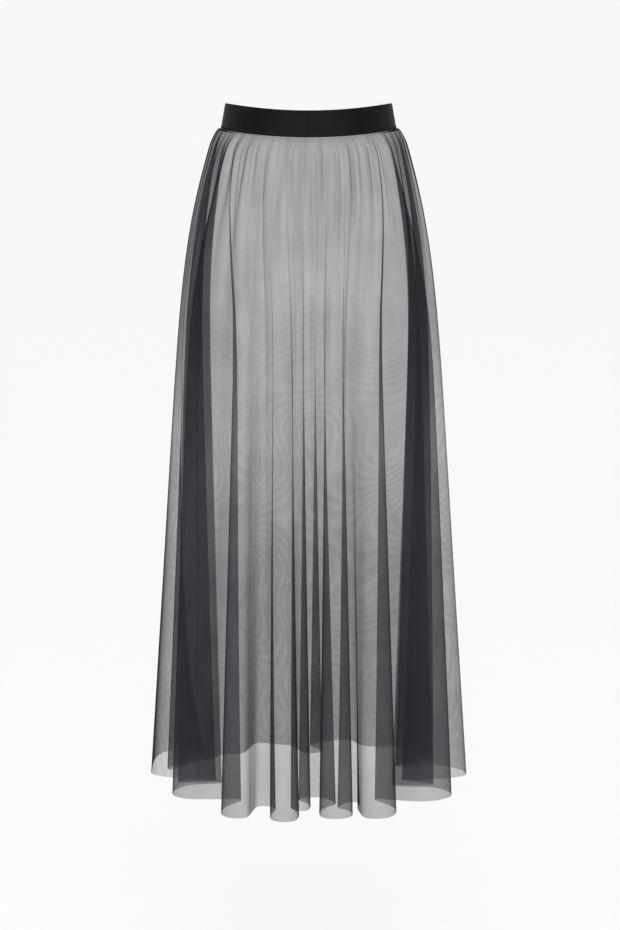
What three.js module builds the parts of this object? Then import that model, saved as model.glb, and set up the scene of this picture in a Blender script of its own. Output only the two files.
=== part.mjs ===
// A long sheer gathered skirt: a wide elastic waistband over a front and a back panel of net,
// standing filled out as if it were worn, open at the waist and at the hem.
// Lengths are in millimetres and angles in degrees.
// The front faces -Y, +X is to the right of somebody looking at the front, and +Z is up.
// The origin is the centre of the waist, at half the height of the band.
import * as THREE from "three";

// Driving sizes.
const hemHalfWidth = 229;
const hemHalfDepth = 203;
const hemDrop = 952;
const clothWall = 1.2;
const seamGap = 0.3;
const bandTopDrop = -13;
const bandBottomDrop = 23.5;
const bandTopHalfWidth = 116.4;
const bandTopHalfDepth = 90;
const bandBottomHalfWidth = 122.9;
const bandBottomHalfDepth = 96;
const bandWall = 2;
const bandColumns = 96;
const sideRiseAtWaist = 10.7;
const sideRiseAtHem = 12.7;
const backRiseAtWaist = -1.5;
const backRiseAtHem = 8;
const gatherCount = 46;
const sidewaysStart = 0.3;
const sidewaysPower = 0.95;
const tulleColor = 0x2b2b2e;
const elasticColor = 0x1b1d1d;

// Turns a list of rows into a list of records with named columns.
function table(columns, rows) {
  return rows.map((row) => Object.fromEntries(columns.map((name, i) => [name, row[i]])));
}

// The hem seen from above, one row for each landmark of the folds, in order round the body.
// x, y      place of the landmark on the hem
// heading   direction in which the cloth runs there, 0 is +X and 90 is +Y
// round     length of the curve handles, as a share of the distance to the next landmark
// early     power of the height share with which the fold grows in or out
// waist     angle round the waist from which this line of cloth hangs, 0 is the front
// home      angle round the body at which this line of cloth belongs lower down
const landmarks = table(
  ["name", "x", "y", "heading", "round", "early", "waist", "home"],
  [
    ["A seam", -159, -33, 0, 0.3, 0.6, -78, -81],
    ["A right", -133, -39.5, -90, 0.16, 0.7, -74.6, -78.5],
    ["A left", -187, -47, -90, 0.16, 1.3, -68.5, -74.5],
    ["A inner", -124.5, -47, -90, 0.14, 0.57, -62, -70.5],
    ["B back", -155, -54, 182, 0.34, 0.8, -60, -68.5],
    ["B left", -192, -100, -90, 0.36, 0.7, -56.5, -66.5],
    ["B front", -167, -124, 0, 0.4, 0.8, -52, -59],
    ["C inner", -95, -110, -90, 0.12, 0.9, -47.5, -36.3],
    ["C left", -121, -166, -90, 0.48, 0.9, -46, -33.6],
    ["C front", -98, -196, 0, 0.42, 1, -38.5, -29],
    ["C right", -78, -157, 76, 0.4, 1, -31, -25],
    ["CD", -62, -127, 0, 0.42, 1, -25.5, -20.5],
    ["D inner", -46, -142, -90, 0.2, 1.8, -22, -15.5],
    ["D left", -53, -179, -90, 0.45, 1.8, -21, -15],
    ["D front", -34, -204, 0, 0.42, 1, -16.7, -11],
    ["D right", -13.5, -168, 90, 0.45, 1, -12.4, -7.7],
    ["E left", -25, -130, 90, 0.2, 1, -11.7, -7.2],
    ["E front", -10, -147, 0, 0.34, 1, -7.8, -5],
    ["E right", 2.5, -120, 90, 0.45, 1, -3.7, -2.7],
    ["E inner", -14, -88, 90, 0.2, 1, -2.9, -2.2],
    ["EF", 8, -74, 0, 0.4, 1, 0.9, 2],
    ["F inner", 38, -110, -90, 0.12, 1, 8.6, 7.1],
    ["F left", 15, -157, -90, 0.48, 1, 9.7, 7.7],
    ["F front", 37, -189, 0, 0.42, 1, 14.4, 10.9],
    ["F right", 61, -163, 90, 0.48, 1.2, 19.2, 14.9],
    ["FG inner", 40.5, -132, 90, 0.12, 1.2, 20.2, 15.9],
    ["FG", 64, -105, 0, 0.36, 1, 23, 18.6],
    ["G left", 69, -148, -78, 0.42, 1, 26, 21.5],
    ["G front", 93, -196, 0, 0.42, 1, 34.6, 26.5],
    ["G right", 121.5, -160, 90, 0.48, 0.9, 42.6, 32.9],
    ["G inner", 93, -106, 90, 0.12, 0.9, 45, 36.3],
    ["H front", 166, -135, 0, 0.36, 0.8, 50, 57.5],
    ["H right", 201, -107, 90, 0.36, 0.9, 53.6, 67.3],
    ["H back", 166, -69, 180, 0.36, 0.8, 57.2, 69],
    ["H inner", 118.5, -62, 90, 0.12, 0.6, 60.5, 71],
    ["I right", 178, -59, 90, 0.14, 0.9, 68.3, 75],
    ["I left", 134, -35, 90, 0.14, 0.75, 74.6, 79],
    ["I seam", 159, -38, 0, 0.3, 0.6, 78, 81.5],
    ["side right", 228, -7, 90, 0.3, 0.8, 91, 92],
    ["J", 180, 40, 180, 0.36, 0.8, 101.2, 104],
    ["J left", 127, 36.5, 90, 0.14, 0.7, 109, 109],
    ["J right", 183, 93, 90, 0.2, 0.9, 121.6, 117],
    ["K", 116, 174, 180, 0.36, 0.9, 138, 148],
    ["K step", 75, 200, 106, 0.4, 1, 149.9, 160],
    ["L", 54, 225, 180, 0.4, 1, 158, 166],
    ["L left", 2, 192, -90, 0.14, 1.6, 173.6, 176.6],
    ["M right", 20.5, 161, -90, 0.2, 1.6, 175, 177.4],
    ["M", 4, 145, 180, 0.34, 1, 177, 179.5],
    ["N", -39, 197, 180, 0.36, 1, 190, 190],
    ["O", -72, 203, 180, 0.4, 1, 196, 200.3],
    ["O left", -88, 174, -106, 0.4, 1, 202.6, 206.3],
    ["P", -115, 128, 180, 0.4, 1, 212, 212.5],
    ["Q", -153, 84, 212, 0.3, 0.8, 223.5, 229],
    ["Q left", -203.4, 17, 160, 0.14, 0.85, 241, 251.5],
    ["R right", -156.5, 117, 96, 0.14, 4.7, 252.8, 256.3],
    ["R", -198, 134, 205, 0.3, 2.2, 257, 258.8],
    ["side left", -228, 2, 270, 0.33, 0.68, 270, 269.3],
    ["A seam again", -159, -33, 360, 0.3, 0.6, 282, 279],
  ],
);

// Level sections from the tucked top edge to the hem.
// drop       how far the section's front point lies under the origin
// halfWidth  half the width of the outline
// halfDepth  half the depth of the outline
// turn       how far each line of cloth has moved from its waist angle to its home angle
// gather     height of the small gathers from the waist seam
const sections = table(
  ["drop", "halfWidth", "halfDepth", "turn", "gather"],
  [
    [15, 118.4, 91.6, 0, 0],
    [24, 119.9, 93.1, 0, 0.1],
    [31, 127.8, 101, 0, 0.8],
    [39, 133, 106, 0.01, 1.4],
    [52, 138.2, 110, 0.03, 1.9],
    [74, 145.8, 116.5, 0.09, 2],
    [109, 155, 125, 0.2, 1.6],
    [151, 164.2, 133.5, 0.4, 1.2],
    [200, 172.4, 142, 0.63, 0.8],
    [270, 180.8, 151, 0.88, 0.4],
    [370, 189.2, 161.5, 0.99, 0],
    [500, 198.2, 172.5, 1, 0],
    [650, 208.2, 183.5, 1, 0],
    [800, 218.3, 193.5, 1, 0],
    [952, 228.5, 203, 1, 0],
  ],
);

const radians = (angle) => (angle * Math.PI) / 180;
const clamp = (value, low, high) => Math.min(high, Math.max(low, value));
const mix = (a, b, share) => a + (b - a) * share;

// Rise of a place over the front point of its section: the waist and the hem are cut
// higher at the sides, by a sine squared, and the back differs a little from the front.
function rise(angle, drop) {
  const share = clamp(drop / hemDrop, 0, 1);
  const side = mix(sideRiseAtWaist, sideRiseAtHem, share);
  const back = mix(backRiseAtWaist, backRiseAtHem, share);
  return side * Math.sin(angle) ** 2 + (back * (1 - Math.cos(angle))) / 2;
}

// Slopes for a smooth curve through one column of the sections that never overshoots:
// the harmonic mean of the slopes on either side, or zero at a turning point.
function slopesOf(column) {
  const last = sections.length - 1;
  const steps = [];
  for (let i = 0; i < last; i += 1) {
    const span = sections[i + 1].drop - sections[i].drop;
    steps.push((sections[i + 1][column] - sections[i][column]) / span);
  }
  const slopes = [steps[0]];
  for (let i = 1; i < last; i += 1) {
    const product = steps[i - 1] * steps[i];
    slopes.push(product <= 0 ? 0 : (2 * product) / (steps[i - 1] + steps[i]));
  }
  slopes.push(steps[last - 1]);
  return slopes;
}

const sectionSlopes = {};
for (const column of ["halfWidth", "halfDepth", "turn", "gather"]) {
  sectionSlopes[column] = slopesOf(column);
}

// Value of one column of the sections at any drop, by a cubic between two rows.
function sectionValue(column, drop) {
  let i = 0;
  while (i < sections.length - 2 && sections[i + 1].drop < drop) i += 1;
  const from = sections[i];
  const to = sections[i + 1];
  const span = to.drop - from.drop;
  const t = clamp((drop - from.drop) / span, 0, 1);
  const slopes = sectionSlopes[column];
  return (
    (2 * t ** 3 - 3 * t ** 2 + 1) * from[column] +
    (t ** 3 - 2 * t ** 2 + t) * span * slopes[i] +
    (3 * t ** 2 - 2 * t ** 3) * to[column] +
    (t ** 3 - t ** 2) * span * slopes[i + 1]
  );
}

// Place on the hem for a line of cloth, whose number is a landmark's row plus a share of
// the way to the next row: a cubic with its handles along the headings.
function hemPlace(line) {
  const i = clamp(Math.floor(line), 0, landmarks.length - 2);
  const t = line - i;
  const from = landmarks[i];
  const to = landmarks[i + 1];
  const chord = Math.hypot(to.x - from.x, to.y - from.y);
  const out = radians(from.heading);
  const into = radians(to.heading);
  const blend = (axis, turned) =>
    (1 - t) ** 3 * from[axis] +
    3 * (1 - t) ** 2 * t * (from[axis] + from.round * chord * turned(out)) +
    3 * (1 - t) * t ** 2 * (to[axis] - to.round * chord * turned(into)) +
    t ** 3 * to[axis];
  return { x: blend("x", Math.cos), y: blend("y", Math.sin) };
}

// Value of one column of the landmarks along the lines of cloth.
function lineValue(column, line) {
  const i = clamp(Math.floor(line), 0, landmarks.length - 2);
  return mix(landmarks[i][column], landmarks[i + 1][column], line - i);
}

// Uneven wave of the gathers round the waist: a cosine with a wandering phase and height.
function gatherWave(angle) {
  const phase = gatherCount * angle + 1.3 * Math.sin(7 * angle) + 0.9 * Math.sin(4 * angle + 1);
  const size = 1 + 0.35 * Math.sin(5 * angle + 0.4) + 0.3 * Math.sin(12 * angle);
  return size * Math.cos(phase);
}

// Place on the middle of the cloth for a line of cloth and a drop. The outline of the section
// is an ellipse. Each line stands on it at its angle, and its distance on the hem from its
// home there is added in growing shares: in and out first, and sideways lower down.
function clothPlace(line, drop) {
  const hem = hemPlace(line);
  const waist = radians(lineValue("waist", line));
  const home = radians(lineValue("home", line));
  const offX = hem.x / hemHalfWidth - Math.sin(home);
  const offY = hem.y / hemHalfDepth + Math.cos(home);
  const outward = offX * Math.sin(home) - offY * Math.cos(home);
  const sideways = offX * Math.cos(home) + offY * Math.sin(home);
  const share = clamp((drop - 20) / (hemDrop - 20), 0, 1);
  const late = clamp((share - sidewaysStart) / (1 - sidewaysStart), 0, 1);
  const ratio = 1 + outward * share ** lineValue("early", line);
  const shift = sideways * late ** sidewaysPower;
  const angle = mix(waist, home, sectionValue("turn", drop));
  const gather = sectionValue("gather", drop) * gatherWave(waist);
  const halfWidth = sectionValue("halfWidth", drop);
  const halfDepth = sectionValue("halfDepth", drop);
  const sine = Math.sin(angle);
  const cosine = Math.cos(angle);
  return new THREE.Vector3(
    halfWidth * (ratio * sine + shift * cosine) + gather * sine,
    halfDepth * (shift * sine - ratio * cosine) - gather * cosine,
    rise(angle, drop) - drop,
  );
}

// Outward normal of the cloth, from the differences to places close by.
function clothNormal(line, drop) {
  const step = 0.02;
  const low = clamp(drop - 0.5, sections[0].drop, hemDrop - 1);
  const along = clothPlace(line + step, drop).sub(clothPlace(line - step, drop));
  const down = clothPlace(line, low + 1).sub(clothPlace(line, low));
  return down.cross(along).normalize();
}

// Numbers of the lines of cloth used for a panel: more of them where the hem is longer
// or where the waist angle changes more.
function panelLines(first, last) {
  const lines = [];
  for (let i = first; i < last; i += 1) {
    let length = 0;
    for (let k = 0; k < 16; k += 1) {
      const a = hemPlace(i + k / 16);
      const b = hemPlace(i + (k + 1) / 16);
      length += Math.hypot(b.x - a.x, b.y - a.y);
    }
    const angle = landmarks[i + 1].waist - landmarks[i].waist;
    const count = Math.max(3, Math.ceil(length / 15), Math.ceil(angle / 2.4));
    for (let k = 0; k < count; k += 1) lines.push(i + k / count);
  }
  lines.push(last);
  return lines;
}

// Solid shell from two sheets of points with the same rows and columns, outer and inner,
// closed along its edges, and joined to a ring when it goes all the way round.
function shell(outer, inner, isRing) {
  const rowCount = outer.length;
  const columnCount = outer[0].length;
  const positions = [];
  for (const sheet of [outer, inner]) {
    for (const row of sheet) for (const point of row) positions.push(point.x, point.y, point.z);
  }
  const at = (side, row, column) =>
    (side * rowCount + row) * columnCount + (column % columnCount);
  const faces = [];
  const quad = (a, b, c, d) => faces.push(a, b, c, a, c, d);
  const spans = isRing ? columnCount : columnCount - 1;
  for (let j = 0; j < spans; j += 1) {
    for (let i = 0; i < rowCount - 1; i += 1) {
      quad(at(0, i, j), at(0, i + 1, j), at(0, i + 1, j + 1), at(0, i, j + 1));
      quad(at(1, i, j), at(1, i, j + 1), at(1, i + 1, j + 1), at(1, i + 1, j));
    }
    const end = rowCount - 1;
    quad(at(0, 0, j), at(0, 0, j + 1), at(1, 0, j + 1), at(1, 0, j));
    quad(at(0, end, j), at(1, end, j), at(1, end, j + 1), at(0, end, j + 1));
  }
  if (!isRing) {
    const far = columnCount - 1;
    for (let i = 0; i < rowCount - 1; i += 1) {
      quad(at(0, i, 0), at(1, i, 0), at(1, i + 1, 0), at(0, i + 1, 0));
      quad(at(0, i, far), at(0, i + 1, far), at(1, i + 1, far), at(1, i, far));
    }
  }
  const geometry = new THREE.BufferGeometry();
  geometry.setAttribute("position", new THREE.Float32BufferAttribute(positions, 3));
  geometry.setIndex(faces);
  geometry.computeVertexNormals();
  return geometry;
}

// A panel of net between two landmarks, cut back at each seam by half the gap.
function panel(name, first, last) {
  const lines = panelLines(first, last);
  const outer = [];
  const inner = [];
  for (const { drop } of sections) {
    const places = lines.map((line) => clothPlace(line, drop));
    const normals = lines.map((line) => clothNormal(line, drop));
    const end = places.length - 1;
    const cutBack = (from, to) =>
      places[from].add(places[to].clone().sub(places[from]).setLength(seamGap / 2));
    cutBack(0, 1);
    cutBack(end, end - 1);
    outer.push(places.map((place, i) => place.clone().addScaledVector(normals[i], clothWall / 2)));
    inner.push(places.map((place, i) => place.clone().addScaledVector(normals[i], -clothWall / 2)));
  }
  const material = new THREE.MeshStandardMaterial({ color: tulleColor, roughness: 0.9 });
  const mesh = new THREE.Mesh(shell(outer, inner, false), material);
  mesh.name = name;
  return mesh;
}

// The elastic band: a flaring oval ring whose edges dip at the front and the back.
function waistband(name) {
  const shares = [0, 0.35, 0.7, 1];
  const ringAt = (share, inset) => {
    const drop = mix(bandTopDrop, bandBottomDrop, share);
    const halfWidth = mix(bandTopHalfWidth, bandBottomHalfWidth, share) - inset;
    const halfDepth = mix(bandTopHalfDepth, bandBottomHalfDepth, share) - inset;
    const places = [];
    for (let j = 0; j < bandColumns; j += 1) {
      const angle = (j / bandColumns) * 2 * Math.PI;
      const x = halfWidth * Math.sin(angle);
      const y = -halfDepth * Math.cos(angle);
      places.push(new THREE.Vector3(x, y, rise(angle, 0) - drop));
    }
    return places;
  };
  const outer = shares.map((share) => ringAt(share, 0));
  const inner = shares.map((share) => ringAt(share, bandWall));
  const material = new THREE.MeshStandardMaterial({ color: elasticColor, roughness: 0.75 });
  const mesh = new THREE.Mesh(shell(outer, inner, true), material);
  mesh.name = name;
  return mesh;
}

const rightSeam = landmarks.findIndex((row) => row.name === "I seam");
const leftSeam = landmarks.length - 1;

const skirt = new THREE.Group();
skirt.name = "tulle_skirt";
skirt.add(waistband("waistband"));
skirt.add(panel("front_panel", 0, rightSeam));
skirt.add(panel("back_panel", rightSeam, leftSeam));

export default skirt;
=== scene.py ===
import math

import bpy
import numpy as np
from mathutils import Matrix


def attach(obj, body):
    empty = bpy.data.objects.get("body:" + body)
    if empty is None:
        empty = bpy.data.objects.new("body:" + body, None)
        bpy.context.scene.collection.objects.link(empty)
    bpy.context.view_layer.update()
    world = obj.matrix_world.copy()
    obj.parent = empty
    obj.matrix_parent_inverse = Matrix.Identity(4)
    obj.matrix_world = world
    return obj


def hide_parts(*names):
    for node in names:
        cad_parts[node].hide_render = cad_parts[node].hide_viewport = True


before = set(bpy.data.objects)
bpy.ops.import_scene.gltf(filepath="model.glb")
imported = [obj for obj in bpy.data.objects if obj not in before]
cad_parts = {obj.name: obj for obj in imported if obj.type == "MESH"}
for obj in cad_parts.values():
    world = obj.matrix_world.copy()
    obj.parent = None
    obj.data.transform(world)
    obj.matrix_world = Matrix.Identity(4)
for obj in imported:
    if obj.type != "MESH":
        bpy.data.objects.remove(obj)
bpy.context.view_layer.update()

# A long sheer gathered skirt of black net on a wide elastic band, filled out as if it were worn.
# The shape tables below are in millimetres and degrees, as in the part's source.
# Everything that goes into Blender is in metres, the front faces -Y and the waist is at the origin.

scene = bpy.context.scene
mm = 0.001
turnRound = 2 * math.pi


# colours, places in metres, and angles in degrees
studio = {
    "skyLow": (0.937, 0.939, 0.941),
    "skyHigh": (0.943, 0.945, 0.947),
    "floorColour": (0.995, 0.995, 0.995),
    "floorHeight": -1.5,
    "floorRadius": 14.0,
    "floorCorners": 96,
    "frontLightPlace": (0.0, -3.4, 1.35),
    "frontLightSize": 2.0,
    "frontLightPower": 30.0,
    "cameraPlace": (0.0, -3.6, 0.013),
    "cameraPitchDown": 7.9,
    "lens": 98.94,
    "shiftX": 0.0015,
}


def makeStudio():
    # sky, floor, one soft front light and the camera. Many layers of net lie behind each other,
    # so a ray may pass through many of them.
    scene.view_settings.view_transform = "Standard"
    scene.view_settings.look = "None"
    scene.cycles.transparent_max_bounces = 96
    scene.cycles.max_bounces = 12
    scene.cycles.volume_bounces = 0
    scene.cycles.min_transparent_bounces = 96
    scene.cycles.use_denoising = True
    # the denoiser sees the picture alone: its guides leave specks where layers of net overlap
    scene.cycles.denoising_input_passes = "RGB"

    world = bpy.data.worlds.new("whiteStudio")
    world.use_nodes = True
    # a white a touch brighter overhead: a sky that changes a little is sampled with less noise
    nodes, links = world.node_tree.nodes, world.node_tree.links
    place = nodes.new("ShaderNodeTexCoord")
    height = nodes.new("ShaderNodeSeparateXYZ")
    links.new(place.outputs["Generated"], height.inputs[0])
    sky = nodes.new("ShaderNodeMix")
    sky.data_type = "RGBA"
    sky.inputs["A"].default_value = (*studio["skyLow"], 1)
    sky.inputs["B"].default_value = (*studio["skyHigh"], 1)
    links.new(height.outputs[2], sky.inputs["Factor"])
    links.new(sky.outputs["Result"], nodes["Background"].inputs["Color"])
    world.cycles.sampling_method = "MANUAL"
    world.cycles.sample_map_resolution = 64
    scene.world = world

    # a large round floor, a plain disc
    corners = studio["floorCorners"]
    turns = np.arange(corners) / corners * turnRound
    rim = np.stack([np.cos(turns), np.sin(turns)], 1) * studio["floorRadius"]
    places = np.column_stack([rim, np.full(corners, studio["floorHeight"])])
    floorMesh = bpy.data.meshes.new("paleFloor")
    floorMesh.from_pydata(places.tolist(), [], [list(range(corners))])
    floor = bpy.data.objects.new("paleFloor", floorMesh)
    scene.collection.objects.link(floor)
    paint = bpy.data.materials.new("paleFloorPaint")
    paint.use_nodes = True
    shader = paint.node_tree.nodes["Principled BSDF"]
    shader.inputs["Base Color"].default_value = (*studio["floorColour"], 1)
    shader.inputs["Roughness"].default_value = 1.0
    shader.inputs["Specular IOR Level"].default_value = 0.0
    floorMesh.materials.append(paint)

    lampData = bpy.data.lights.new("frontSoftbox", "AREA")
    lampData.shape = "DISK"
    lampData.size = studio["frontLightSize"]
    lampData.energy = studio["frontLightPower"]
    lamp = bpy.data.objects.new("frontSoftbox", lampData)
    lamp.location = studio["frontLightPlace"]
    aim = -lamp.location
    lamp.rotation_euler = aim.to_track_quat("-Z", "Y").to_euler()
    lamp.visible_camera = False
    scene.collection.objects.link(lamp)

    cameraData = bpy.data.cameras.new("photoCamera")
    cameraData.sensor_width = 36.0
    cameraData.lens = studio["lens"]
    cameraData.shift_x = studio["shiftX"]
    camera = bpy.data.objects.new("photoCamera", cameraData)
    camera.location = studio["cameraPlace"]
    camera.rotation_euler = (math.radians(90 - studio["cameraPitchDown"]), 0, 0)
    scene.collection.objects.link(camera)
    scene.camera = camera


def columnsOf(names, rows):
    # turns rows of numbers into one array for each named column
    return dict(zip(names.split(), np.array(rows, float).T))


# The hem seen from above, one row for each landmark of the folds, in order round the body.
# x y      place on the hem           heading  direction of the cloth there, 0 is +X, 90 is +Y
# round    length of curve handles    early    power with which the fold grows on the way down
# waist    angle round the waist from which the line hangs, 0 is the front
# home     angle round the body at which the line belongs lower down
landmarks = columnsOf("x y heading round early waist home", [
    (-159, -33, 0, 0.3, 0.6, -78, -81),                 # A, at the left side seam
    (-133, -39.5, -90, 0.16, 0.7, -74.6, -78.5),
    (-187, -47, -90, 0.16, 1.3, -68.5, -74.5),
    (-124.5, -47, -90, 0.14, 0.57, -62, -70.5),
    (-155, -54, 182, 0.34, 0.8, -60, -68.5),            # B, the wide left front fold
    (-192, -100, -90, 0.36, 0.7, -56.5, -66.5),
    (-167, -124, 0, 0.4, 0.8, -52, -59),
    (-95, -110, -90, 0.12, 0.9, -47.5, -36.3),          # C
    (-121, -166, -90, 0.48, 0.9, -46, -33.6),
    (-98, -196, 0, 0.42, 1, -38.5, -29),
    (-78, -157, 76, 0.4, 1, -31, -25),
    (-62, -127, 0, 0.42, 1, -25.5, -20.5),
    (-46, -142, -90, 0.2, 1.8, -22, -15.5),             # D
    (-53, -179, -90, 0.45, 1.8, -21, -15),
    (-34, -204, 0, 0.42, 1, -16.7, -11),
    (-13.5, -168, 90, 0.45, 1, -12.4, -7.7),
    (-25, -130, 90, 0.2, 1, -11.7, -7.2),               # E
    (-10, -147, 0, 0.34, 1, -7.8, -5),
    (2.5, -120, 90, 0.45, 1, -3.7, -2.7),
    (-14, -88, 90, 0.2, 1, -2.9, -2.2),
    (8, -74, 0, 0.4, 1, 0.9, 2),
    (38, -110, -90, 0.12, 1, 8.6, 7.1),                 # F
    (15, -157, -90, 0.48, 1, 9.7, 7.7),
    (37, -189, 0, 0.42, 1, 14.4, 10.9),
    (61, -163, 90, 0.48, 1.2, 19.2, 14.9),
    (40.5, -132, 90, 0.12, 1.2, 20.2, 15.9),
    (64, -105, 0, 0.36, 1, 23, 18.6),
    (69, -148, -78, 0.42, 1, 26, 21.5),                 # G
    (93, -196, 0, 0.42, 1, 34.6, 26.5),
    (121.5, -160, 90, 0.48, 0.9, 42.6, 32.9),
    (93, -106, 90, 0.12, 0.9, 45, 36.3),
    (166, -135, 0, 0.36, 0.8, 50, 57.5),
    (201, -107, 90, 0.36, 0.9, 53.6, 67.3),
    (166, -69, 180, 0.36, 0.8, 57.2, 69),
    (118.5, -62, 90, 0.12, 0.6, 60.5, 71),
    (178, -59, 90, 0.14, 0.9, 68.3, 75),                # I
    (134, -35, 90, 0.14, 0.75, 74.6, 79),
    (159, -38, 0, 0.3, 0.6, 78, 81.5),                  # right side seam
    (228, -7, 90, 0.3, 0.8, 91, 92),                    # side
    (180, 40, 180, 0.36, 0.8, 101.2, 104),              # J
    (127, 36.5, 90, 0.14, 0.7, 109, 109),
    (183, 93, 90, 0.2, 0.9, 121.6, 117),
    (116, 174, 180, 0.36, 0.9, 138, 148),               # K
    (75, 200, 106, 0.4, 1, 149.9, 160),
    (54, 225, 180, 0.4, 1, 158, 166),                   # L
    (2, 192, -90, 0.14, 1.6, 173.6, 176.6),
    (20.5, 161, -90, 0.2, 1.6, 175, 177.4),
    (4, 145, 180, 0.34, 1, 177, 179.5),                 # M, the middle of the back
    (-39, 197, 180, 0.36, 1, 190, 190),                 # N
    (-72, 203, 180, 0.4, 1, 196, 200.3),                # O
    (-88, 174, -106, 0.4, 1, 202.6, 206.3),
    (-115, 128, 180, 0.4, 1, 212, 212.5),               # P
    (-153, 84, 212, 0.3, 0.8, 223.5, 229),              # Q
    (-203.4, 17, 160, 0.14, 0.85, 241, 251.5),
    (-156.5, 117, 96, 0.14, 4.7, 252.8, 256.3),         # R
    (-198, 134, 205, 0.3, 2.2, 257, 258.8),
    (-228, 2, 270, 0.33, 0.68, 270, 269.3),             # side
    (-159, -33, 360, 0.3, 0.6, 282, 279),               # A again
])
rightSeam = 37
leftSeam = len(landmarks["x"]) - 1

# short steps over which the ways along and down the cloth are measured, in lines and millimetres
lineStep = 0.01
dropStep = 0.2

# Level sections from the tucked top edge to the hem. drop is how far the front lies under the
# waist, turn is how far a line has moved from its waist angle to its home angle, gather is the
# height of the gathers that the solid has, crimp that of the finer ones between them, and lift
# is how far the net rolls up over the band's lower edge at the sides.
sections = columnsOf("drop halfWidth halfDepth turn gather crimp lift", [
    (15, 118.4, 91.6, 0, 0, 0, 0),
    (24, 119.9, 93.1, 0, 0.1, 0.05, 0),
    (25.5, 122.4, 94.8, 0, 0.1, 0.05, 0.3),
    (27, 123.9, 96.7, 0, 0.1, 0.08, 3.6),
    (29, 124.3, 98.9, 0, 0.2, 0.1, 7),
    (31, 125.8, 101, 0, 0.4, 0.15, 8.4),
    (35, 128.6, 103.6, 0, 0.8, 0.2, 9),
    (39, 131.4, 106, 0.01, 1.2, 0.3, 8),
    (46, 136.2, 108.4, 0.02, 1.6, 0.35, 5),
    (54, 139.6, 110.8, 0.03, 1.9, 0.35, 2.4),
    (74, 145.8, 116.5, 0.09, 2, 0.3, 0),
    (109, 155, 125, 0.2, 1.6, 0.22, 0),
    (151, 164.2, 133.5, 0.4, 1.2, 0.1, 0),
    (200, 172.4, 142, 0.63, 0.8, 0, 0),
    (270, 180.8, 151, 0.88, 0.4, 0, 0),
    (370, 189.2, 161.5, 0.99, 0, 0, 0),
    (500, 198.2, 172.5, 1, 0, 0, 0),
    (650, 208.2, 183.5, 1, 0, 0, 0),
    (800, 218.3, 193.5, 1, 0, 0, 0),
    (952, 228.5, 203, 1, 0, 0, 0),
])

fall = {
    "hemHalfWidth": 229.0,
    "hemHalfDepth": 203.0,
    "hemDrop": 952.0,
    "bandDrop": 24.0,            # where the net is sewn to the band's lower edge
    "foldDrop": 20.0,            # where the folds start to grow
    "sideRise": (10.7, 12.7),    # at the waist and at the hem
    "backRise": (-1.5, 8.0),
    "gatherCount": 46,
    "crimpCount": 127,
    "sidewaysStart": 0.3,        # share of the way down at which a fold starts to lean sideways
    "sidewaysPower": 0.95,
    "sidePower": 8,              # how close to the sides the net rolls up and the gathers flatten
    "sideFlat": 0.5,             # share by which the gathers are lower there
}


def rise(angle, drop):
    # rise over the front point of a section: a sine squared at the sides, plus a share at the back
    share = np.clip(drop / fall["hemDrop"], 0, 1)
    side = fall["sideRise"][0] + (fall["sideRise"][1] - fall["sideRise"][0]) * share
    back = fall["backRise"][0] + (fall["backRise"][1] - fall["backRise"][0]) * share
    return side * np.sin(angle) ** 2 + back * (1 - np.cos(angle)) / 2


def sectionValue(column, drop):
    # smooth curve through one column of the sections: a cubic between rows, whose slope at a row
    # is the harmonic mean of the slopes on both sides, so that it never overshoots
    at, value = sections["drop"], sections[column]
    span = np.diff(at)
    step = np.diff(value) / span
    product = step[:-1] * step[1:]
    total = np.where(product > 0, step[:-1] + step[1:], 1)
    inside = np.where(product > 0, 2 * product / total, 0)
    slope = np.concatenate([step[:1], inside, step[-1:]])
    i = np.clip(np.searchsorted(at, drop) - 1, 0, len(at) - 2)
    t = np.clip((drop - at[i]) / span[i], 0, 1)
    return (
        (2 * t ** 3 - 3 * t ** 2 + 1) * value[i]
        + (t ** 3 - 2 * t ** 2 + t) * span[i] * slope[i]
        + (3 * t ** 2 - 2 * t ** 3) * value[i + 1]
        + (t ** 3 - t ** 2) * span[i] * slope[i + 1]
    )


def lineValue(column, line):
    # straight between landmarks
    return np.interp(line, np.arange(len(landmarks[column])), landmarks[column])


def hemPlace(line):
    # place on the hem: a Bezier cubic from landmark to landmark, its handles along the headings
    i = np.clip(np.floor(line).astype(int), 0, leftSeam - 1)
    t = line - i
    x, y, reach = landmarks["x"], landmarks["y"], landmarks["round"]
    chord = np.hypot(x[i + 1] - x[i], y[i + 1] - y[i])
    heading = np.radians(landmarks["heading"])
    places = []
    for value, way in ((x, np.cos(heading)), (y, np.sin(heading))):
        places.append(
            (1 - t) ** 3 * value[i]
            + 3 * (1 - t) ** 2 * t * (value[i] + reach[i] * chord * way[i])
            + 3 * (1 - t) * t ** 2 * (value[i + 1] - reach[i + 1] * chord * way[i + 1])
            + t ** 3 * value[i + 1]
        )
    return places


def gatherWave(angle):
    # cosine with a wandering phase and height
    phase = fall["gatherCount"] * angle + 1.3 * np.sin(7 * angle) + 0.9 * np.sin(4 * angle + 1)
    size = 1 + 0.35 * np.sin(5 * angle + 0.4) + 0.3 * np.sin(12 * angle)
    return size * np.cos(phase)


def crimpWave(angle):
    # finer cosine between the gathers, uneven in height
    phase = fall["crimpCount"] * angle + 2.1 * np.sin(9 * angle + 2) + 1.4 * np.sin(14 * angle)
    return (0.8 + 0.5 * np.sin(11 * angle + 1)) * np.cos(phase)


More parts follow.
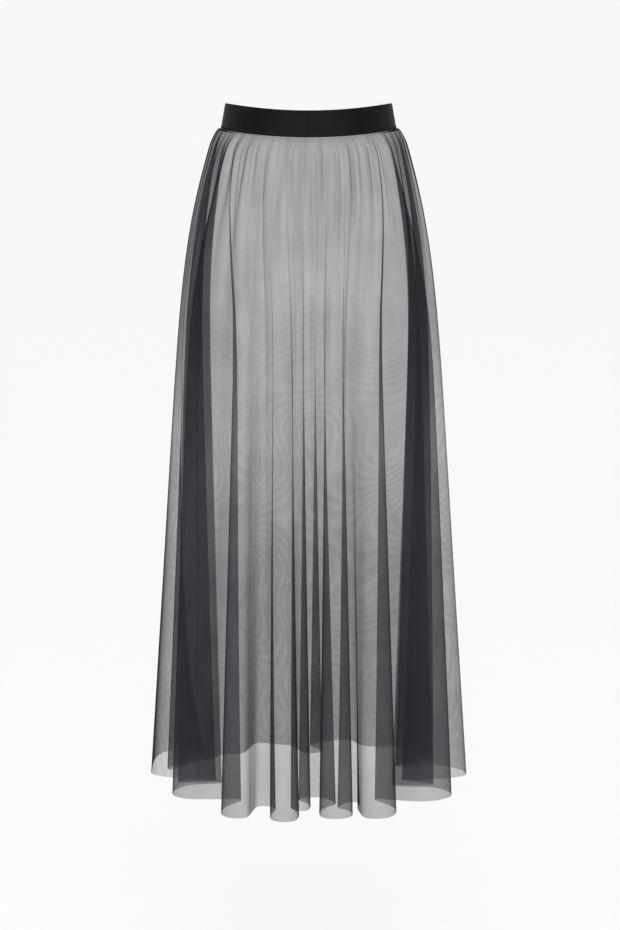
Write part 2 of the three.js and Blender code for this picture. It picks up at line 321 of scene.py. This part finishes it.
def clothPlace(line, drop):
    # a point of the cloth for a line of cloth and a drop. It stands on the section's ellipse at
    # the line's angle, and the line's distance on the hem from its home is added in growing
    # shares, in and out first and sideways lower down. Waves of gathers stand on it near the
    # waist, lower at the sides. The lift grows with a high power of the sine, so it is there at
    # the sides only.
    hemX, hemY = hemPlace(line)
    waist = np.radians(lineValue("waist", line))
    home = np.radians(lineValue("home", line))
    offX = hemX / fall["hemHalfWidth"] - np.sin(home)
    offY = hemY / fall["hemHalfDepth"] + np.cos(home)
    outward = offX * np.sin(home) - offY * np.cos(home)
    sideways = offX * np.cos(home) + offY * np.sin(home)
    share = np.clip((drop - fall["foldDrop"]) / (fall["hemDrop"] - fall["foldDrop"]), 0, 1)
    start = fall["sidewaysStart"]
    late = np.clip((share - start) / (1 - start), 0, 1)
    ratio = 1 + outward * share ** lineValue("early", line)
    shift = sideways * late ** fall["sidewaysPower"]
    angle = waist + (home - waist) * sectionValue("turn", drop)
    proud = sectionValue("gather", drop) * gatherWave(waist)
    proud = proud + sectionValue("crimp", drop) * crimpWave(waist)
    sine, cosine = np.sin(angle), np.cos(angle)
    atSide = sine ** fall["sidePower"]
    proud = proud * (1 - fall["sideFlat"] * atSide)
    halfWidth, halfDepth = sectionValue("halfWidth", drop), sectionValue("halfDepth", drop)
    x = halfWidth * (ratio * sine + shift * cosine) + proud * sine
    y = halfDepth * (shift * sine - ratio * cosine) - proud * cosine
    z = rise(angle, drop) - drop + sectionValue("lift", drop) * atSide
    return np.stack([x, y, z], -1)


def clothAlong(line, drop):
    # short step along the cloth at one drop
    return clothPlace(line + lineStep, drop) - clothPlace(line - lineStep, drop)


def clothNormal(line, drop):
    # outward normal: the cross product of the steps down and along the cloth
    low = np.clip(drop - dropStep / 2, sections["drop"][0], fall["hemDrop"] - dropStep)
    along = clothAlong(line, drop)
    down = clothPlace(line, low + dropStep) - clothPlace(line, low)
    normal = np.cross(down, along)
    return normal / np.linalg.norm(normal, axis=-1, keepdims=True)


def meshPiece(name, places, quads, flatMaps):
    # a piece from an array of corners, an array of quads and named maps of flat places
    mesh = bpy.data.meshes.new(name)
    mesh.vertices.add(len(places))
    mesh.vertices.foreach_set("co", np.asarray(places, np.float32).ravel())
    mesh.loops.add(quads.size)
    mesh.loops.foreach_set("vertex_index", quads.astype(np.int32).ravel())
    mesh.polygons.add(len(quads))
    mesh.polygons.foreach_set("loop_start", np.arange(0, quads.size, 4, dtype=np.int32))
    mesh.update(calc_edges=True)
    mesh.polygons.foreach_set("use_smooth", np.ones(len(quads), bool))
    for mapName, flat in flatMaps.items():
        layer = mesh.uv_layers.new(name=mapName)
        layer.data.foreach_set("uv", np.asarray(flat, np.float32)[quads.ravel()].ravel())
    mesh.validate()
    piece = bpy.data.objects.new(name, mesh)
    scene.collection.objects.link(piece)
    return piece


def shellQuads(rows, columns):
    # quads of a thin closed wall from two sheets of rows by columns corners, outer then inner
    index = np.arange(2 * rows * columns).reshape(2, rows, columns)
    outer, inner = index

    def strip(a, b, c, d):
        return np.stack([a.ravel(), b.ravel(), c.ravel(), d.ravel()], 1)

    return np.concatenate([
        strip(outer[:-1, :-1], outer[1:, :-1], outer[1:, 1:], outer[:-1, 1:]),
        strip(inner[:-1, :-1], inner[:-1, 1:], inner[1:, 1:], inner[1:, :-1]),
        strip(outer[0, :-1], outer[0, 1:], inner[0, 1:], inner[0, :-1]),
        strip(outer[-1, :-1], inner[-1, :-1], inner[-1, 1:], outer[-1, 1:]),
        strip(outer[:-1, 0], inner[:-1, 0], inner[1:, 0], outer[1:, 0]),
        strip(outer[:-1, -1], outer[1:, -1], inner[1:, -1], inner[:-1, -1]),
    ])


def ringQuads(around, across):
    # quads of a closed ring whose closed cross-section has `across` corners
    index = np.arange(around * across).reshape(around, across)
    nextRound = np.roll(index, -1, 0)
    a, b = index, np.roll(index, -1, 1)
    c, d = np.roll(nextRound, -1, 1), nextRound
    return np.stack([a.ravel(), b.ravel(), c.ravel(), d.ravel()], 1)


def linesOf(first, last, hemStep, angleStep):
    # line numbers, spaced so that neither the hem nor the waist angle steps by more than asked
    fine = np.linspace(first, last, (last - first) * 60 + 1)
    hemX, hemY = hemPlace(fine)
    hem = np.hypot(np.diff(hemX), np.diff(hemY)) / hemStep
    angle = np.diff(lineValue("waist", fine)) / angleStep
    travel = np.concatenate([[0], np.cumsum(np.maximum(hem, angle))])
    count = int(math.ceil(travel[-1]))
    return np.interp(np.linspace(0, travel[-1], count + 1), travel, fine)


def dropsOf(steps):
    # drops of the rows, from pairs of a drop and the spacing wanted there
    at, spacing = np.array(steps, float).T
    fine = np.linspace(at[0], at[-1], int(at[-1] - at[0]) * 10 + 1)
    travel = np.concatenate([[0], np.cumsum(np.diff(fine) / np.interp(fine[:-1], at, spacing))])
    return np.interp(np.linspace(0, travel[-1], int(travel[-1]) + 1), travel, fine)


def newMaterial(name):
    # a material with an empty node tree
    material = bpy.data.materials.new(name)
    material.use_nodes = True
    nodes, links = material.node_tree.nodes, material.node_tree.links
    nodes.clear()
    return material, nodes, links


def mathNode(nodes, links, operation, first, second=None):
    # one Math node, its inputs linked or set
    node = nodes.new("ShaderNodeMath")
    node.operation = operation
    for socket, value in zip(node.inputs, (first, second)):
        if value is None:
            continue
        if isinstance(value, (int, float)):
            socket.default_value = value
        else:
            links.new(value, socket)
    return node.outputs[0]


def rangeNode(nodes, links, value, fromRange, toRange, smooth=True):
    # one Map Range node, eased by a cubic or straight
    node = nodes.new("ShaderNodeMapRange")
    node.interpolation_type = "SMOOTHSTEP" if smooth else "LINEAR"
    links.new(value, node.inputs["Value"])
    for name, number in zip(("From Min", "From Max"), fromRange):
        node.inputs[name].default_value = number
    for name, number in zip(("To Min", "To Max"), toRange):
        node.inputs[name].default_value = number
    return node.outputs["Result"]


panelCut = {
    "wallDrops": (15, 150, 300, 450, 952),          # thickness of the shell on the way down
    "wall": (0.80, 0.80, 0.66, 0.44, 0.60),
    "hemStep": 4.6,             # widest step along the hem, and round the waist in degrees
    "angleStep": 0.55,
    "rowSteps": [(15, 2), (23, 1), (25, 0.5), (33, 0.8), (45, 2), (60, 4), (110, 6), (200, 9),
                 (500, 12), (952, 14)],
    "seamGap": 0.3,
    "waistRadius": 325.0,       # of the flat cut, a ring sector
    "spread": 2.498,            # angle of the whole cut, in radians
    "waistArc": 108.0,          # radius for arcs round the gathered waist
}


net = {
    "holeSpacing": 0.00125,     # from hole to hole of the hexagonal net, in metres
    "threadRange": (-1.4, 0.2),     # the sum of cosines in a thread's middle and beside it
    "holeShare": 0.25,          # cover of a hole, as a share of a thread's cover
    "threadCover": (0.135, 0.41),   # share of the light that a thread stops at each face
    "coverDrops": (0.22, 0.66),     # and the drops between which it grows, in metres
    "threadColour": (0.052, 0.050, 0.064),
    "threadRoughness": 0.7,
    "threadSpecular": 0.1,
    "density": 330.0,               # of the net's darkness inside the wall, and its colour
    "absorb": (0.0, 0.0, 0.015),
    "unevenness": 0.02,
    "unevenScale": 14.0,
    "noiseRange": (0.3, 0.7),           # where nearly all of a noise's values lie
    "streakCover": (0.055, 0.020),      # of the fine gathers, at the waist and at the hem
    "streakFade": 0.45,                 # how far down they fade, in metres
    "streakScale": 110.0,
    "streakStretch": 0.05,              # their width as a share of their length
    "bunchCover": 0.19,                 # where the deep side folds start
    "bunchSides": (0.79, 0.89, 0.975, 0.998),    # sine of the waist angle there
    "bunchDrops": (0.015, 0.06, 0.27, 0.66),     # drops between which it grows and fades
    "smoothSides": (0.955, 0.985),      # sine of the waist angle where the sides hang smooth
    "smoothDrops": (0.26, 0.42),
    "smoothShare": 0.65,                # of the cover elsewhere
    "rippleCover": 0.028,               # of the ripples that layers of net make on each other
    "rippleCount": 44.0,
    "rippleScale": 5.0,
    "rippleDrops": (0.20, 0.55),        # drops between which they come out clearly
    "rippleAbove": 0.25,                # share of them that shows above those drops
}


def netMaterial(name, rippleCover):
    # Hexagonal net in the flat cut: the sum of three cosines at 60 degrees to each other is
    # highest in the middle of each hole, and low along the threads between the holes.
    material, nodes, links = newMaterial(name)
    flat = nodes.new("ShaderNodeUVMap")
    flat.uv_map = "flatCut"
    parts = nodes.new("ShaderNodeSeparateXYZ")
    links.new(flat.outputs["UV"], parts.inputs[0])
    pitch = 4 * math.pi / (math.sqrt(3) * net["holeSpacing"])
    total = None
    for turn in (90, 30, 150):
        across = mathNode(nodes, links, "MULTIPLY", parts.outputs[0],
                          pitch * math.cos(math.radians(turn)))
        along = mathNode(nodes, links, "MULTIPLY", parts.outputs[1],
                         pitch * math.sin(math.radians(turn)))
        wave = mathNode(nodes, links, "COSINE", mathNode(nodes, links, "ADD", across, along))
        total = wave if total is None else mathNode(nodes, links, "ADD", total, wave)
    mesh = rangeNode(nodes, links, total, net["threadRange"], (1.0, net["holeShare"]))

    # the cover grows on the way down, so the net is darker towards the hem
    hang = nodes.new("ShaderNodeUVMap")
    hang.uv_map = "hangLines"
    place = nodes.new("ShaderNodeSeparateXYZ")
    links.new(hang.outputs["UV"], place.inputs[0])
    drop = place.outputs[1]
    full = rangeNode(nodes, links, drop, net["coverDrops"], net["threadCover"], smooth=False)
    cover = mathNode(nodes, links, "MULTIPLY", mesh, full)

    # slow unevenness of the knitting
    cloud = nodes.new("ShaderNodeTexNoise")
    cloud.inputs["Scale"].default_value = net["unevenScale"]
    cloud.inputs["Detail"].default_value = 2.0
    links.new(flat.outputs["UV"], cloud.inputs["Vector"])
    uneven = rangeNode(nodes, links, cloud.outputs["Fac"], net["noiseRange"],
                       (-net["unevenness"], net["unevenness"]))
    cover = mathNode(nodes, links, "ADD", cover, uneven)

    # Small gathers, finer than the mesh: the net lies closer together in streaks that run down
    # the cloth from the waist, a noise drawn out along the lines of the fall.
    drawn = nodes.new("ShaderNodeMapping")
    drawn.inputs["Scale"].default_value = (1.0, net["streakStretch"], 1.0)
    links.new(hang.outputs["UV"], drawn.inputs["Vector"])
    streak = nodes.new("ShaderNodeTexNoise")
    streak.inputs["Scale"].default_value = net["streakScale"]
    streak.inputs["Detail"].default_value = 2.5
    links.new(drawn.outputs[0], streak.inputs["Vector"])
    size = rangeNode(nodes, links, drop, (0.0, net["streakFade"]), net["streakCover"])
    streaks = rangeNode(nodes, links, streak.outputs["Fac"], net["noiseRange"], (-1.0, 1.0),
                        smooth=False)
    streaks = mathNode(nodes, links, "MULTIPLY", streaks, size)
    cover = mathNode(nodes, links, "ADD", cover, streaks)

    # Where the deep side folds start, the gathers are bunched closer together: a window of the
    # sine of the waist angle times a window of the drop.
    angle = mathNode(nodes, links, "DIVIDE", place.outputs[0], panelCut["waistArc"] * mm)
    side = mathNode(nodes, links, "ABSOLUTE", mathNode(nodes, links, "SINE", angle))
    bunch = None
    for value, steps in ((side, net["bunchSides"]), (drop, net["bunchDrops"])):
        for edge, ends in ((steps[:2], (0.0, 1.0)), (steps[2:], (1.0, 0.0))):
            window = rangeNode(nodes, links, value, edge, ends)
            bunch = window if bunch is None else mathNode(nodes, links, "MULTIPLY", bunch, window)
    bunch = mathNode(nodes, links, "MULTIPLY", bunch, net["bunchCover"])
    cover = mathNode(nodes, links, "ADD", cover, bunch)

    # Lower down the sides hang smooth and tight, so the net is more open there.
    smooth = mathNode(nodes, links, "MULTIPLY",
                      rangeNode(nodes, links, side, net["smoothSides"], (0.0, 1.0)),
                      rangeNode(nodes, links, drop, net["smoothDrops"], (0.0, 1.0)))
    smooth = rangeNode(nodes, links, smooth, (0.0, 1.0), (1.0, net["smoothShare"]), smooth=False)
    cover = mathNode(nodes, links, "MULTIPLY", cover, smooth)

    # Ripples like wood grain, where two layers of net cross: a sine of a slow noise.
    if rippleCover:
        slow = nodes.new("ShaderNodeTexNoise")
        slow.inputs["Scale"].default_value = net["rippleScale"]
        slow.inputs["Detail"].default_value = 0.5
        links.new(flat.outputs["UV"], slow.inputs["Vector"])
        grain = mathNode(nodes, links, "MULTIPLY", slow.outputs["Fac"],
                         turnRound * net["rippleCount"])
        grain = mathNode(nodes, links, "SINE", grain)
        low = rangeNode(nodes, links, drop, net["rippleDrops"], (net["rippleAbove"], 1.0))
        grain = mathNode(nodes, links, "MULTIPLY", grain,
                         mathNode(nodes, links, "MULTIPLY", low, rippleCover))
        cover = mathNode(nodes, links, "ADD", cover, grain)
    cover = mathNode(nodes, links, "MAXIMUM", cover, 0.0)

    thread = nodes.new("ShaderNodeBsdfPrincipled")
    thread.inputs["Base Color"].default_value = (*net["threadColour"], 1)
    thread.inputs["Roughness"].default_value = net["threadRoughness"]
    thread.inputs["Specular IOR Level"].default_value = net["threadSpecular"]
    gap = nodes.new("ShaderNodeBsdfTransparent")
    mixed = nodes.new("ShaderNodeMixShader")
    links.new(cover, mixed.inputs[0])
    links.new(gap.outputs[0], mixed.inputs[1])
    links.new(thread.outputs[0], mixed.inputs[2])

    # The rest of the net's darkness lies in the wall, so a fold seen edge on is darker.
    inside = nodes.new("ShaderNodeVolumeAbsorption")
    inside.inputs["Color"].default_value = (*net["absorb"], 1)
    inside.inputs["Density"].default_value = net["density"]
    out = nodes.new("ShaderNodeOutputMaterial")
    links.new(mixed.outputs[0], out.inputs["Surface"])
    links.new(inside.outputs[0], out.inputs["Volume"])
    return material


elastic = {
    "colour": (0.0050, 0.0054, 0.0051),
    "roughness": 0.55,
    "weaveAcross": 0.0011,
    "weaveAlong": 0.0009,
    # painted highlight: the base colour is scaled darker at the sides and lighter at the middle of
    # the front and back
    "paintedHighlightFrom": (0.80, 0.99),   # cosine of the angle from the middle
    "paintedHighlightShare": (0.40, 1.28),
    "flatRadius": 103.5,        # of a circle as long as the band, in millimetres
    "mottleScale": 60.0,
    "mottle": 0.15,             # how far the colour varies each way
    "bump": 0.5,
    "bumpHeight": 0.00015,
    "specular": 0.10,
}


def elasticMaterial():
    # woven elastic: a fine basket of two waves in the band's own length and height, as a bump
    material, nodes, links = newMaterial("blackElastic")
    flat = nodes.new("ShaderNodeUVMap")
    flat.uv_map = "flatCut"
    parts = nodes.new("ShaderNodeSeparateXYZ")
    links.new(flat.outputs["UV"], parts.inputs[0])
    around = mathNode(nodes, links, "MULTIPLY", parts.outputs[0], turnRound / elastic["weaveAlong"])
    upward = mathNode(nodes, links, "MULTIPLY", parts.outputs[1], turnRound / elastic["weaveAcross"])
    basket = mathNode(nodes, links, "MULTIPLY",
                      mathNode(nodes, links, "SINE", around),
                      mathNode(nodes, links, "SINE", upward))
    cloud = nodes.new("ShaderNodeTexNoise")
    cloud.inputs["Scale"].default_value = elastic["mottleScale"]
    cloud.inputs["Detail"].default_value = 4.0
    links.new(flat.outputs["UV"], cloud.inputs["Vector"])
    bump = nodes.new("ShaderNodeBump")
    bump.inputs["Strength"].default_value = elastic["bump"]
    bump.inputs["Distance"].default_value = elastic["bumpHeight"]
    links.new(mathNode(nodes, links, "ADD", basket, cloud.outputs["Fac"]), bump.inputs["Height"])
    tone = nodes.new("ShaderNodeMix")
    tone.data_type = "RGBA"
    links.new(cloud.outputs["Fac"], tone.inputs["Factor"])
    for end, share in (("A", 1 - elastic["mottle"]), ("B", 1 + elastic["mottle"])):
        tone.inputs[end].default_value = (*(share * c for c in elastic["colour"]), 1)
    # painted highlight: the middle of the front and of the back of the band is a little lighter, a
    # cosine of the angle round it
    turned = mathNode(nodes, links, "DIVIDE", parts.outputs[0], elastic["flatRadius"] * mm)
    facing = mathNode(nodes, links, "ABSOLUTE", mathNode(nodes, links, "COSINE", turned))
    # painted highlight, lighter where the band faces front or back
    paintedHighlightTone = rangeNode(nodes, links, facing, elastic["paintedHighlightFrom"], elastic["paintedHighlightShare"])
    paintedHighlightMix = nodes.new("ShaderNodeMix")
    paintedHighlightMix.data_type = "RGBA"
    paintedHighlightMix.blend_type = "MULTIPLY"
    paintedHighlightMix.inputs["Factor"].default_value = 1.0
    links.new(tone.outputs["Result"], paintedHighlightMix.inputs["A"])
    links.new(paintedHighlightTone, paintedHighlightMix.inputs["B"])
    shader = nodes.new("ShaderNodeBsdfPrincipled")
    shader.inputs["Roughness"].default_value = elastic["roughness"]
    shader.inputs["Specular IOR Level"].default_value = elastic["specular"]
    links.new(paintedHighlightMix.outputs["Result"], shader.inputs["Base Color"])
    links.new(bump.outputs[0], shader.inputs["Normal"])
    out = nodes.new("ShaderNodeOutputMaterial")
    links.new(shader.outputs[0], out.inputs["Surface"])
    return material


def threadMaterial():
    # black sewing thread with a twist, a wave across the thread as a bump
    material, nodes, links = newMaterial("blackThread")
    flat = nodes.new("ShaderNodeUVMap")
    flat.uv_map = "flatCut"
    wave = nodes.new("ShaderNodeTexWave")
    wave.bands_direction = "DIAGONAL"
    wave.inputs["Scale"].default_value = 600.0
    links.new(flat.outputs["UV"], wave.inputs["Vector"])
    bump = nodes.new("ShaderNodeBump")
    bump.inputs["Strength"].default_value = 0.4
    bump.inputs["Distance"].default_value = 0.00008
    links.new(wave.outputs["Fac"], bump.inputs["Height"])
    shader = nodes.new("ShaderNodeBsdfPrincipled")
    shader.inputs["Base Color"].default_value = (0.010, 0.010, 0.011, 1)
    shader.inputs["Roughness"].default_value = 0.5
    shader.inputs["Specular IOR Level"].default_value = 0.3
    links.new(bump.outputs[0], shader.inputs["Normal"])
    out = nodes.new("ShaderNodeOutputMaterial")
    links.new(shader.outputs[0], out.inputs["Surface"])
    return material


def cutAngles(lines):
    # angle of each line in the flat cut, in proportion to its distance along the whole hem
    fine = np.linspace(0, leftSeam, leftSeam * 40 + 1)
    hemX, hemY = hemPlace(fine)
    travel = np.concatenate([[0], np.cumsum(np.hypot(np.diff(hemX), np.diff(hemY)))])
    return np.interp(lines, fine, travel / travel[-1] * panelCut["spread"])


def makePanel(name, node, first, last, netBlack):
    # one net panel: the cloth's grid, moved out and in along its normal by half the wall, which
    # makes a thin closed shell, with its flat cut and its lines of fall as maps
    lines = linesOf(first, last, panelCut["hemStep"], panelCut["angleStep"])[None, :]
    drops = dropsOf(panelCut["rowSteps"])[:, None]
    places = clothPlace(lines, drops)
    normals = clothNormal(lines, drops)
    # cut back half the gap at both side seams
    for edge, beside in ((0, 1), (-1, -2)):
        way = places[:, beside] - places[:, edge]
        way = way / np.linalg.norm(way, axis=-1, keepdims=True)
        places[:, edge] += way * panelCut["seamGap"] / 2
    wall = np.interp(drops, panelCut["wallDrops"], panelCut["wall"])
    half = normals * wall[..., None] / 2
    sheets = np.stack([places + half, places - half])
    # flat place: a ring sector, each panel round its own straight grain
    turn = cutAngles(lines[0])
    turn = turn - turn.mean()
    radius = panelCut["waistRadius"] + drops - fall["bandDrop"]
    flat = np.stack([radius * np.sin(turn), -radius * np.cos(turn)], -1) * mm
    flat = np.stack([flat, flat])
    # place along the fall: the arc round the waist and the drop
    arc = np.radians(lineValue("waist", lines)) * panelCut["waistArc"]
    hang = np.stack(np.broadcast_arrays(arc, drops), -1) * mm
    hang = np.stack([hang, hang])
    rows, columns = places.shape[:2]
    piece = meshPiece(name, sheets.reshape(-1, 3) * mm, shellQuads(rows, columns),
                      {"flatCut": flat.reshape(-1, 2), "hangLines": hang.reshape(-1, 2)})
    piece.data.materials.append(netBlack)
    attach(piece, "root")
    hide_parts(node)
    half = (turn[-1] - turn[0]) / 2
    inner = panelCut["waistRadius"] * mm
    outer = inner + (fall["hemDrop"] - fall["bandDrop"]) * mm
    cut = {
        "width": 2 * outer * math.sin(half),
        "length": outer - inner * math.cos(half),
        "area": half * (outer ** 2 - inner ** 2),
    }
    print(name, "columns", columns, "rows", rows, "triangles", 2 * len(piece.data.polygons),
          "cut", {key: round(float(value), 3) for key, value in cut.items()})
    return piece, cut


band = {
    "topDrop": -13.0,
    "bottomDrop": 23.5,
    "topHalf": (116.4, 90.0),
    "bottomHalf": (122.9, 96.0),
    "wall": 2.0,
    "ribs": 24,
    "ribHeight": 0.10,
    "edgeRound": 0.7,
    "around": 384,
    "ribPoints": 6,
    "insidePoints": 16,
    "edgePoints": 7,
}


def bandPlace(angle, share, outward):
    # place on the band for an angle, a share of its height from the top, and a distance outwards
    drop = band["topDrop"] + (band["bottomDrop"] - band["topDrop"]) * share
    halfWidth = band["topHalf"][0] + (band["bottomHalf"][0] - band["topHalf"][0]) * share
    halfDepth = band["topHalf"][1] + (band["bottomHalf"][1] - band["topHalf"][1]) * share
    x = (halfWidth + outward) * np.sin(angle)
    y = -(halfDepth + outward) * np.cos(angle)
    return np.stack(np.broadcast_arrays(x, y, rise(angle, 0) - drop), -1)


def makeBand(elasticBlack):
    # a closed profile carried round the waist: ribs down the outside, a round edge, the plain
    # inside back up, and another round edge
    height = band["bottomDrop"] - band["topDrop"]
    edge = band["edgeRound"] / height
    count = band["ribs"] * band["ribPoints"]
    down = np.linspace(edge, 1 - edge, count)
    ribbed = band["ribHeight"] * (np.cos(down * band["ribs"] * turnRound) - 1) / 2
    up = np.linspace(1 - edge, edge, band["insidePoints"])
    bend = np.arange(1, band["edgePoints"] + 1) / (band["edgePoints"] + 1) * math.pi
    middle = -band["wall"] / 2
    share = np.concatenate([down, 1 - edge + edge * np.sin(bend), up, edge - edge * np.sin(bend)])
    outward = np.concatenate([
        ribbed,
        middle + band["wall"] / 2 * np.cos(bend),
        np.full(band["insidePoints"], -band["wall"]),
        middle - band["wall"] / 2 * np.cos(bend),
    ])
    angle = (np.arange(band["around"]) / band["around"] * turnRound)[:, None]
    places = bandPlace(angle, share[None, :], outward[None, :])
    length = np.broadcast_to(angle * elastic["flatRadius"], places.shape[:2])
    flat = np.stack([length, np.broadcast_to(-share * height, places.shape[:2])], -1)
    piece = meshPiece("elasticWaistband", places.reshape(-1, 3) * mm,
                      ringQuads(*places.shape[:2])[:, ::-1],
                      {"flatCut": flat.reshape(-1, 2) * mm})
    piece.data.materials.append(elasticBlack)
    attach(piece, "root")
    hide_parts("waistband")
    print("elasticWaistband triangles", 2 * len(piece.data.polygons))
    return piece


sewing = {
    "zigzags": 150,
    "zigzagMiddle": 0.905,      # share of the band's height
    "zigzagHeight": 0.036,      # from its middle to a tip, a share as well
    "pointsPerZigzag": 16,
    "zigzagSharp": 0.96,        # 1 would be a triangle wave with pointed tips
    "zigzagPitch": 0.6,         # length of thread from point to point, in its flat place
    "threadRadius": 0.24,
    "threadSides": 6,
    "threadSide": 0.25,         # width of one of them in its flat place
    "seamWidth": 5.0,
    "seamWall": 0.8,
    "seamStart": 40.0,          # drop of its top end
    "seamClear": 0.7,           # from the middle of the cloth
    "seamRow": 9.0,             # height of one row of the strip
    "seamPoints": 4,            # across the strip
}


def tube(path, outward, radius, sides):
    # a round tube round a closed path, its section between the outward way and the way across
    along = np.roll(path, -1, 0) - np.roll(path, 1, 0)
    along /= np.linalg.norm(along, axis=1, keepdims=True)
    across = np.cross(along, outward)
    across /= np.linalg.norm(across, axis=1, keepdims=True)
    lift = np.cross(across, along)
    turn = np.arange(sides) / sides * turnRound
    return (path[:, None]
            + radius * np.cos(turn)[None, :, None] * lift[:, None]
            + radius * np.sin(turn)[None, :, None] * across[:, None])


def makeBandStitching(threadBlack):
    # one zigzag of thread round the band over the gathered edge: a triangle wave with soft tips
    count = sewing["zigzags"] * sewing["pointsPerZigzag"]
    step = np.arange(count)
    angle = step / count * turnRound
    sharp = sewing["zigzagSharp"]
    wave = np.arcsin(sharp * np.sin(step / sewing["pointsPerZigzag"] * turnRound))
    wave = wave / math.asin(sharp)
    share = sewing["zigzagMiddle"] + sewing["zigzagHeight"] * wave
    # it lies on the band, and sinks a little at the tips, where it goes through
    lift = sewing["threadRadius"] * (0.9 - 1.1 * np.abs(wave) ** 6)
    path = bandPlace(angle, share, lift)
    outward = np.stack([np.sin(angle), -np.cos(angle), np.zeros(count)], 1)
    rings = tube(path, outward, sewing["threadRadius"], sewing["threadSides"])
    along = (step * sewing["zigzagPitch"])[:, None]
    around = np.arange(sewing["threadSides"])[None, :] * sewing["threadSide"]
    flat = np.stack(np.broadcast_arrays(along, around), -1)
    piece = meshPiece("bandStitching", rings.reshape(-1, 3) * mm,
                      ringQuads(count, sewing["threadSides"]),
                      {"flatCut": flat.reshape(-1, 2) * mm})
    piece.data.materials.append(threadBlack)
    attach(piece, "root")
    print("bandStitching triangles", 2 * len(piece.data.polygons))
    return piece


def makeSideSeam(name, line, netBlack):
    # the sewn edges of both panels, a narrow double strip that stands inwards along a side seam:
    # a wall from the cloth inwards, carried down the seam line
    count = int((fall["hemDrop"] - sewing["seamStart"]) / sewing["seamRow"]) + 1
    drops = np.linspace(sewing["seamStart"], fall["hemDrop"], count)[:, None]
    lines = np.full((1, 1), float(line))
    middle = clothPlace(lines, drops)
    normal = clothNormal(lines, drops)
    points = sewing["seamPoints"]
    inwards = sewing["seamClear"] + np.linspace(0, sewing["seamWidth"], points)
    places = middle - normal * inwards[None, :, None]
    along = clothAlong(lines, drops)
    along = along / np.linalg.norm(along, axis=-1, keepdims=True)
    half = along * sewing["seamWall"] / 2
    sheets = np.stack([places + half, places - half])
    flat = np.stack(np.broadcast_arrays(inwards[None, :], -drops), -1) * mm
    flat = np.stack([flat, flat]).reshape(-1, 2)
    piece = meshPiece(name, sheets.reshape(-1, 3) * mm, shellQuads(count, points),
                      {"flatCut": flat, "hangLines": flat * (1, -1)})
    piece.data.materials.append(netBlack)
    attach(piece, "root")
    print(name, "triangles", 2 * len(piece.data.polygons))
    return piece


def report(pieces):
    # prints the number of pieces and the sum of their triangles
    total = sum(2 * len(piece.data.polygons) for piece in pieces)
    print("pieces", len(pieces), "triangles in all", total)


makeStudio()
print("studio ready")
netBlack = netMaterial("blackNet", 0.0)
netBehind = netMaterial("blackNetBehind", net["rippleCover"])
elasticBlack = elasticMaterial()
threadBlack = threadMaterial()
print("materials ready")
frontPanel, frontCut = makePanel("netFrontPanel", "front_panel", 0, rightSeam, netBlack)
backPanel, backCut = makePanel("netBackPanel", "back_panel", rightSeam, leftSeam, netBehind)
waistband = makeBand(elasticBlack)
bandStitching = makeBandStitching(threadBlack)
rightSeamStrip = makeSideSeam("rightSideSeam", rightSeam, netBlack)
leftSeamStrip = makeSideSeam("leftSideSeam", 0, netBlack)
report([frontPanel, backPanel, waistband, bandStitching, rightSeamStrip, leftSeamStrip])
